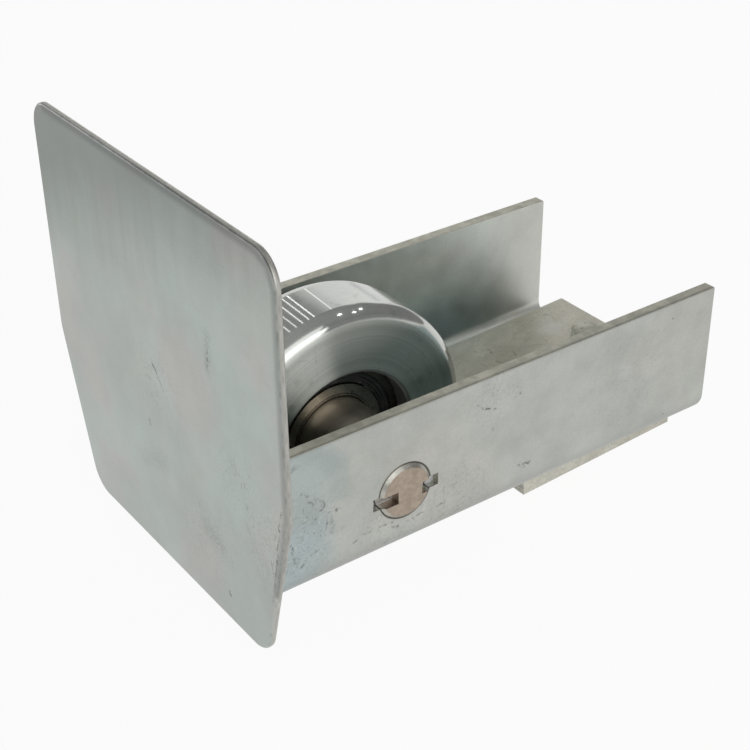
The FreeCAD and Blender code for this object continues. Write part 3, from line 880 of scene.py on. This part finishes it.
bolt_seat = Vector((0.1249, 0.0, 0.0022756))
bolt_tilt = math.radians(-2.63038)
under_head = -0.008615
head_reach = 0.0006
head_edge_radius = 0.0002
thread_sizes = {"Outer radius": 0.004, "Root radius": 0.00332, "Pitch": 0.00125, "Length": 0.0205,
                "Bevel": 0.0009}
thread, thread_in = new_shape("bolt_thread", thread_sizes)
core, spot = rod_of(thread, 48, 192)
height = thread.times(thread.plus(spot["Z"], 0.5), thread_in["Length"])
angle = thread.maths("ARCTAN2", spot["Y"], spot["X"])
lead = thread.minus(thread.maths("DIVIDE", height, thread_in["Pitch"]),
                    thread.maths("DIVIDE", angle, 2 * math.pi))
crest = thread.maths("MINIMUM", thread.times(thread.maths("PINGPONG", lead, 0.5), 2.4), 1.0)
thread_depth = thread.minus(thread_in["Outer radius"], thread_in["Root radius"])
flank = thread.maths("MULTIPLY_ADD", crest, thread_depth, thread_in["Root radius"])
bevel = thread.plus(thread.minus(thread_in["Outer radius"], thread_in["Bevel"]),
                    thread.minus(thread_in["Length"], height))
reach = thread.maths("MINIMUM", flank, bevel)
aim = point(thread, X=thread.times(spot["X"], reach), Y=thread.times(spot["Y"], reach), Z=height)
rolled = thread.add("GeometryNodeSetPosition", {"Geometry": core, "Position": aim}).outputs[0]
end_shape(thread, rolled, bolt_finish)
bolt = made_by(thread, "clamp_bolt_threaded", thread_sizes, bolt_finish)

tipped = Matrix.Rotation(bolt_tilt, 4, "Y")
bolt_frame = Matrix.Translation(bolt_seat) @ tipped @ Matrix.Translation((0, 0, under_head))
bolt.data.transform(bolt_frame)
head = rounded_copy("clamp_bolt", "bolt_head", head_edge_radius)
shell = bmesh.new()
shell.from_mesh(head.data)
shank = [vertex for vertex in shell.verts if (bolt_frame.inverted() @ vertex.co).z > head_reach]
bmesh.ops.delete(shell, geom=shank, context="VERTS")
bmesh.ops.holes_fill(shell, edges=shell.edges, sides=0)
bmesh.ops.recalc_face_normals(shell, faces=shell.faces)
for face in shell.faces:
    face.smooth = False
    face.material_index = 0
shell.from_mesh(bolt.data)
shell.to_mesh(bolt.data)
shell.free()
bpy.data.objects.remove(head)
stand_for(bolt, "clamp_bolt", "bracket")


# Studio: white paper under the wheel in a dim room, soft boxes in front and behind, a glow above the
# back one, a row of tubes that the tread mirrors as lines, three small lamps for the wheel's edge,
# and the camera at the photograph's place.
floor_reach = 12.0
floor_z = cad_low[2] - 0.0002
floor_corners = [(x * floor_reach, y * floor_reach, floor_z) for x, y in ((-1, -1), (1, -1), (1, 1), (-1, 1))]
floor_mesh = bpy.data.meshes.new("floor")
floor_mesh.from_pydata(floor_corners, [], [(0, 1, 2, 3)])
floor = bpy.data.objects.new("floor", floor_mesh)
bpy.context.scene.collection.objects.link(floor)
paper_white = 0.93
paper = Finish("white_paper", metallic=0.0)
paper.coat((0.9, 0.9, 0.9, 1), 1.0)
paper.shader.inputs["Specular IOR Level"].default_value = 0.0
path = paper.add("ShaderNodeLightPath").outputs
seen = paper.most(path["Is Camera Ray"], path["Is Glossy Ray"], path["Is Transmission Ray"])
plain_white = paper.add("ShaderNodeEmission", {"Color": (1, 1, 1, 1), "Strength": 1.0}).outputs[0]
paper_mix = {0: paper.times(seen, paper_white), 1: paper.shader.outputs[0], 2: plain_white}
paper.feed(paper.tree.nodes["Material Output"].inputs["Surface"],
           paper.add("ShaderNodeMixShader", paper_mix).outputs[0])
dress(floor, paper)

aim_point = Vector((0.05, 0.0, 0.03))


def way_to(azimuth, elevation):
    """Direction from the object, in degrees; azimuth 0 is in front, 90 to the right."""
    turn, rise = math.radians(azimuth), math.radians(elevation)
    return Vector((math.sin(turn) * math.cos(rise), -math.cos(turn) * math.cos(rise), math.sin(rise)))


def lamp(name, azimuth, elevation, distance, size, brightness, tilt=0.0):
    """Soft rectangular lamp that faces the object."""
    way = way_to(azimuth, elevation)
    data = bpy.data.lights.new(name, "AREA")
    data.shape = "RECTANGLE"
    data.size, data.size_y = size
    data.energy = brightness * math.pi * size[0] * size[1]
    body = bpy.data.objects.new(name, data)
    body.location = aim_point + way * distance
    upright = way.to_track_quat("Z", "Y").to_matrix()
    body.rotation_euler = (upright @ Matrix.Rotation(math.radians(tilt), 3, "Z")).to_euler()
    bpy.context.scene.collection.objects.link(body)


lamp("front_box", -6, 17, 1.3, (1.3, 0.72), 2.0)
lamp("front_high", -4, 43, 1.3, (0.9, 0.5), 1.0)
lamp("back_box", 143, 13.5, 1.6, (1.2, 0.64), 0.74)
lamp("back_glow", 150, 29.5, 1.62, (0.9, 0.27), 0.36)
lamp("back_glow_low", 149, 27.9, 1.63, (0.9, 0.176), 0.26)
for number, azimuth, elevation, tilt, brightness in (
        (1, 148.1, 30.5, 16.3, 1.1), (2, 158.5, 37.4, 6.0, 2.8), (3, 162.3, 39.2, 2.3, 2.1),
        (4, 167.3, 41.4, -2.7, 2.1), (5, 172.9, 42.7, -8.3, 1.6), (6, 179.1, 43.3, -14.6, 1.8)):
    lamp("tube_%d" % number, azimuth, elevation, 0.907, (0.008, 0.2), brightness, tilt)
for number, azimuth, elevation in ((1, 69, 60), (2, 64, 47), (3, 83, 46)):
    lamp("spot_%d" % number, azimuth, elevation, 0.9, (0.03, 0.03), 25)

world = bpy.data.worlds.new("studio")
world.use_nodes = True
bpy.context.scene.world = world
room = Recipe(world.node_tree)
sky = room.axes(room.add("ShaderNodeTexCoord").outputs["Generated"])
to_right = room.most(sky["X"], 0.0)
glow = room.plus(room.eased(sky["Z"], 0.45, 0.9, 0.36, 0.42), room.times(to_right, -0.09))
to_camera = room.add("ShaderNodeLightPath").outputs["Is Camera Ray"]
background = world.node_tree.nodes["Background"].inputs
room.feed(background["Strength"], choice(room, to_camera, glow, 1.0))
background["Color"].default_value = (1, 1, 1, 1)
bpy.context.scene.view_settings.view_transform = "Standard"

camera_place = Matrix.Translation((-0.122435, -0.250161, 0.210759))
camera_turn = way_to(-35.397, 31.277).to_track_quat("Z", "Y").to_matrix().to_4x4()
camera_roll = Matrix.Rotation(math.radians(-0.771), 4, "Z")
camera = bpy.data.objects.new("camera", bpy.data.cameras.new("camera"))
camera.data.sensor_fit = "HORIZONTAL"
camera.data.sensor_width = 36.0
camera.data.lens = 71.943
camera.matrix_world = camera_place @ camera_turn @ camera_roll
bpy.context.scene.collection.objects.link(camera)
bpy.context.scene.camera = camera
